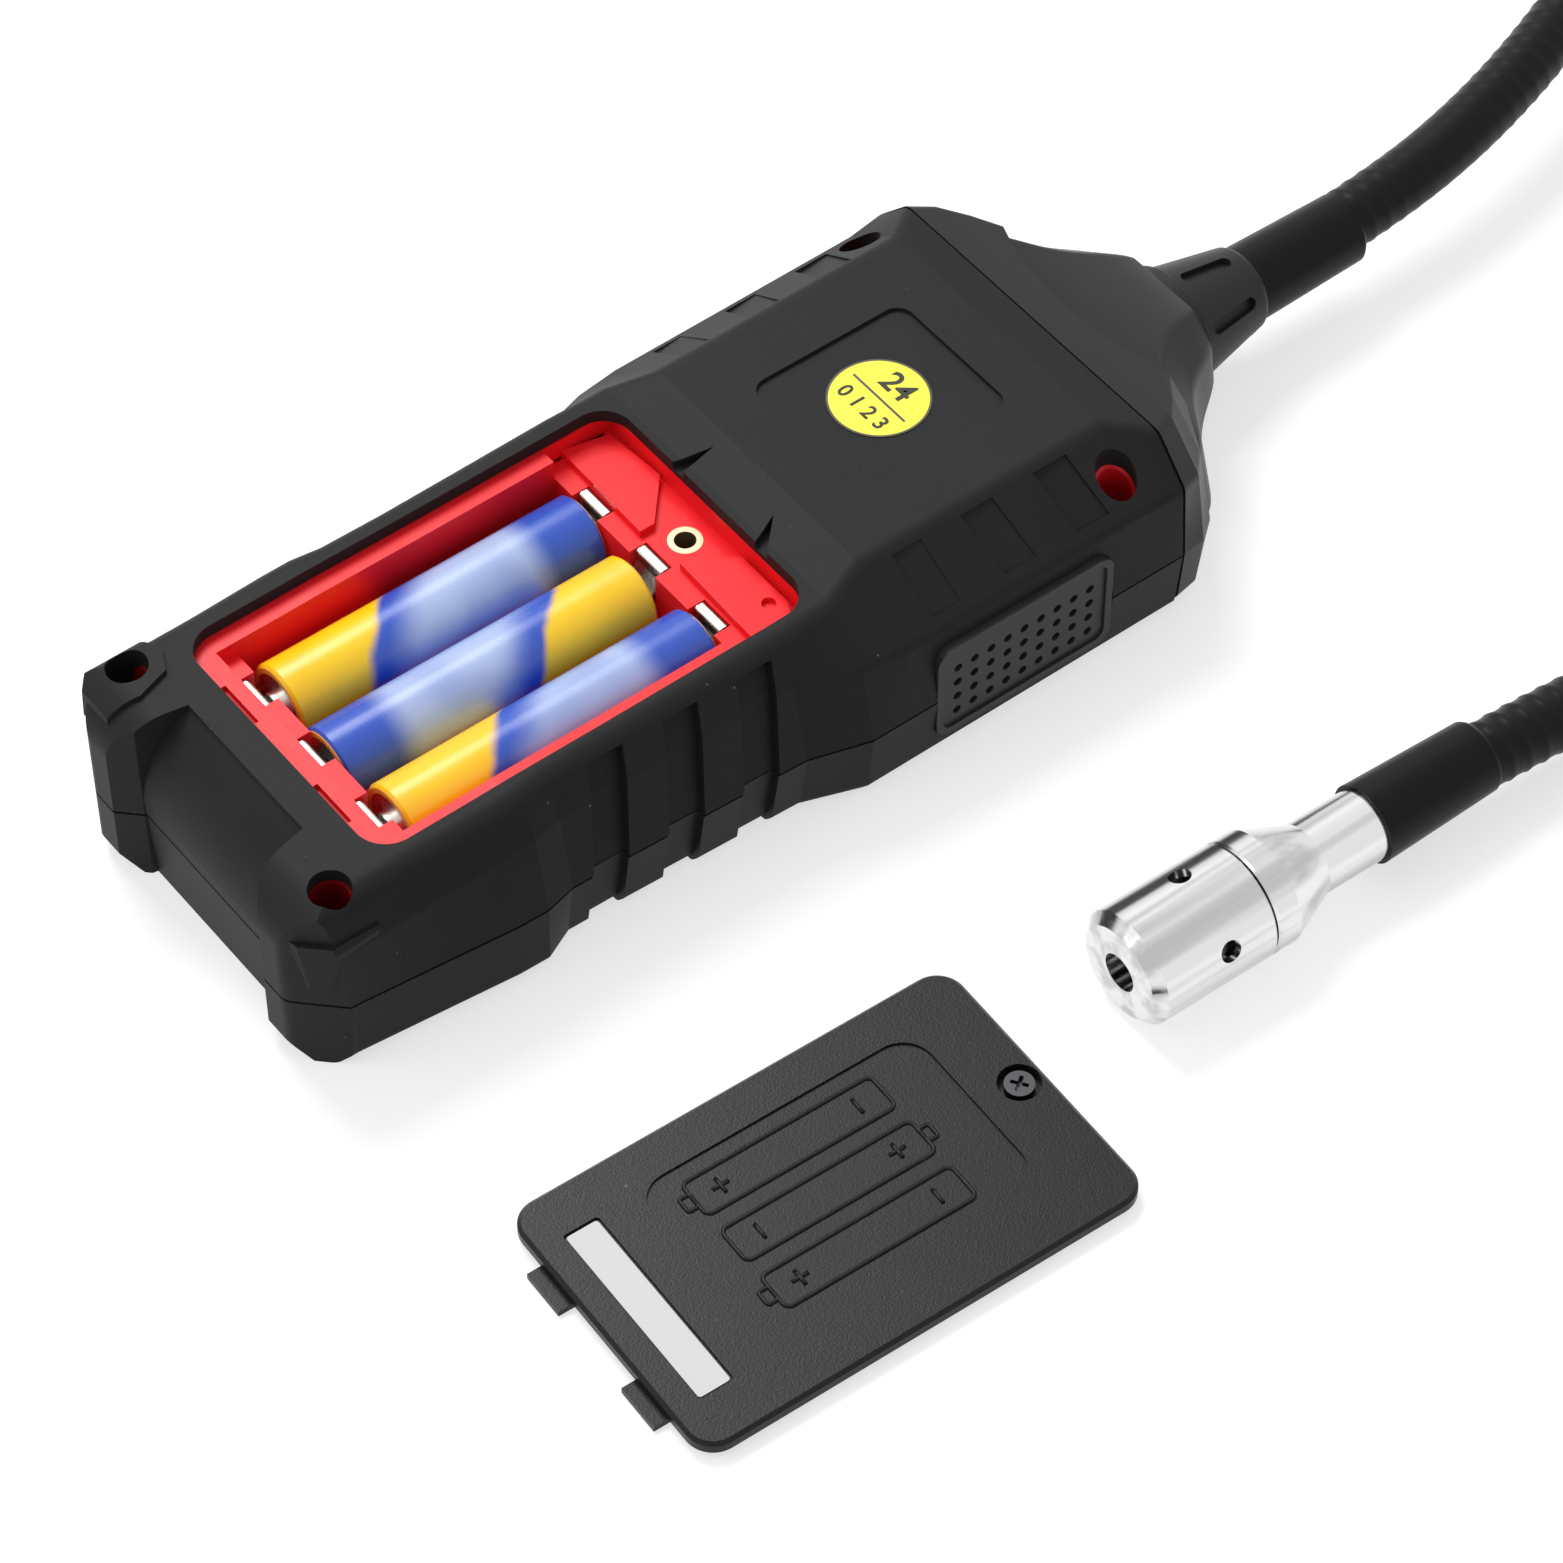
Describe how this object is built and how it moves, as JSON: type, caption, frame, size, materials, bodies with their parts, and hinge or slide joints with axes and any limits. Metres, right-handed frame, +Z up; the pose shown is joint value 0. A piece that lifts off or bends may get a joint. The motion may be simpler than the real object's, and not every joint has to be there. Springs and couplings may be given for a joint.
{
  "type": "gas leak detector",
  "caption": "Handheld gas leak detector with rubber-skinned housing, open battery bay, loose battery cover and a gooseneck probe with a metal sensor tip.",
  "frame": {"origin": "middle of the front face the instrument lies on, half way along the housing from tail to neck cap seam side, on the table", "axes": "+X from the tail of the grip to the gooseneck, +Y across the body to the left seen from behind with the tail towards the viewer, +Z up, away from the face it lies on"},
  "size_m": [0.295, 0.1244, 0.0284],
  "materials": {
    "rear_rubber": "matte",
    "rear_shell": "satin",
    "front_shell": "matte",
    "face_panel": "satin",
    "display_window": "polished",
    "display_module": "matte",
    "circuit_board": "satin",
    "key_switches": "matte",
    "buzzer": "satin",
    "threaded_insert": "satin",
    "case_screws": "satin",
    "neck_cap": "satin",
    "neck_gland": "matte",
    "base_sleeve": "satin",
    "gooseneck": "satin",
    "tip_sleeve": "satin",
    "probe_base": "brushed",
    "probe_cap": "brushed",
    "sensor": "satin",
    "battery_cover": "satin",
    "cover_label": "matte",
    "cover_screw": "satin",
    "round_sticker": "satin",
    "side_grille": "matte",
    "key": "matte",
    "cell": "glossy",
    "contact": "satin"
  },
  "bodies": {
    "housing": {"rear_rubber": "rear_rubber", "rear_shell": "rear_shell", "front_shell": "front_shell", "face_panel": "face_panel", "display_window": "display_window", "display_module": "display_module", "circuit_board": "circuit_board", "key_switches": "key_switches", "buzzer": "buzzer", "threaded_insert": "threaded_insert", "case_screws": "case_screws", "neck_cap": "neck_cap", "neck_gland": "neck_gland", "base_sleeve": "base_sleeve", "gooseneck": "gooseneck", "tip_sleeve": "tip_sleeve", "probe_base": "probe_base", "probe_cap": "probe_cap", "sensor": "sensor", "battery_cover": "battery_cover", "cover_label": "cover_label", "cover_screw": "cover_screw", "round_sticker": "round_sticker", "side_grille_left": "side_grille", "side_grille_right": "side_grille", "cell_1": "cell", "cell_2": "cell", "cell_3": "cell", "contact_tail_1": "contact", "contact_tail_2": "contact", "contact_tail_3": "contact", "contact_head_1": "contact", "contact_head_2": "contact", "contact_head_3": "contact"},
    "key_power": {"key_power": "key"},
    "key_up": {"key_up": "key"},
    "key_down": {"key_down": "key"}
  },
  "joints": [
    {"name": "key_power_press", "type": "slide", "parent": "housing", "child": "key_power", "axis": [0, 0, 1], "range_m": [0, 0.0006], "stiffness_N_per_m": 400},
    {"name": "key_up_press", "type": "slide", "parent": "housing", "child": "key_up", "axis": [0, 0, 1], "range_m": [0, 0.0006], "stiffness_N_per_m": 400},
    {"name": "key_down_press", "type": "slide", "parent": "housing", "child": "key_down", "axis": [0, 0, 1], "range_m": [0, 0.0006], "stiffness_N_per_m": 400}
  ]
}
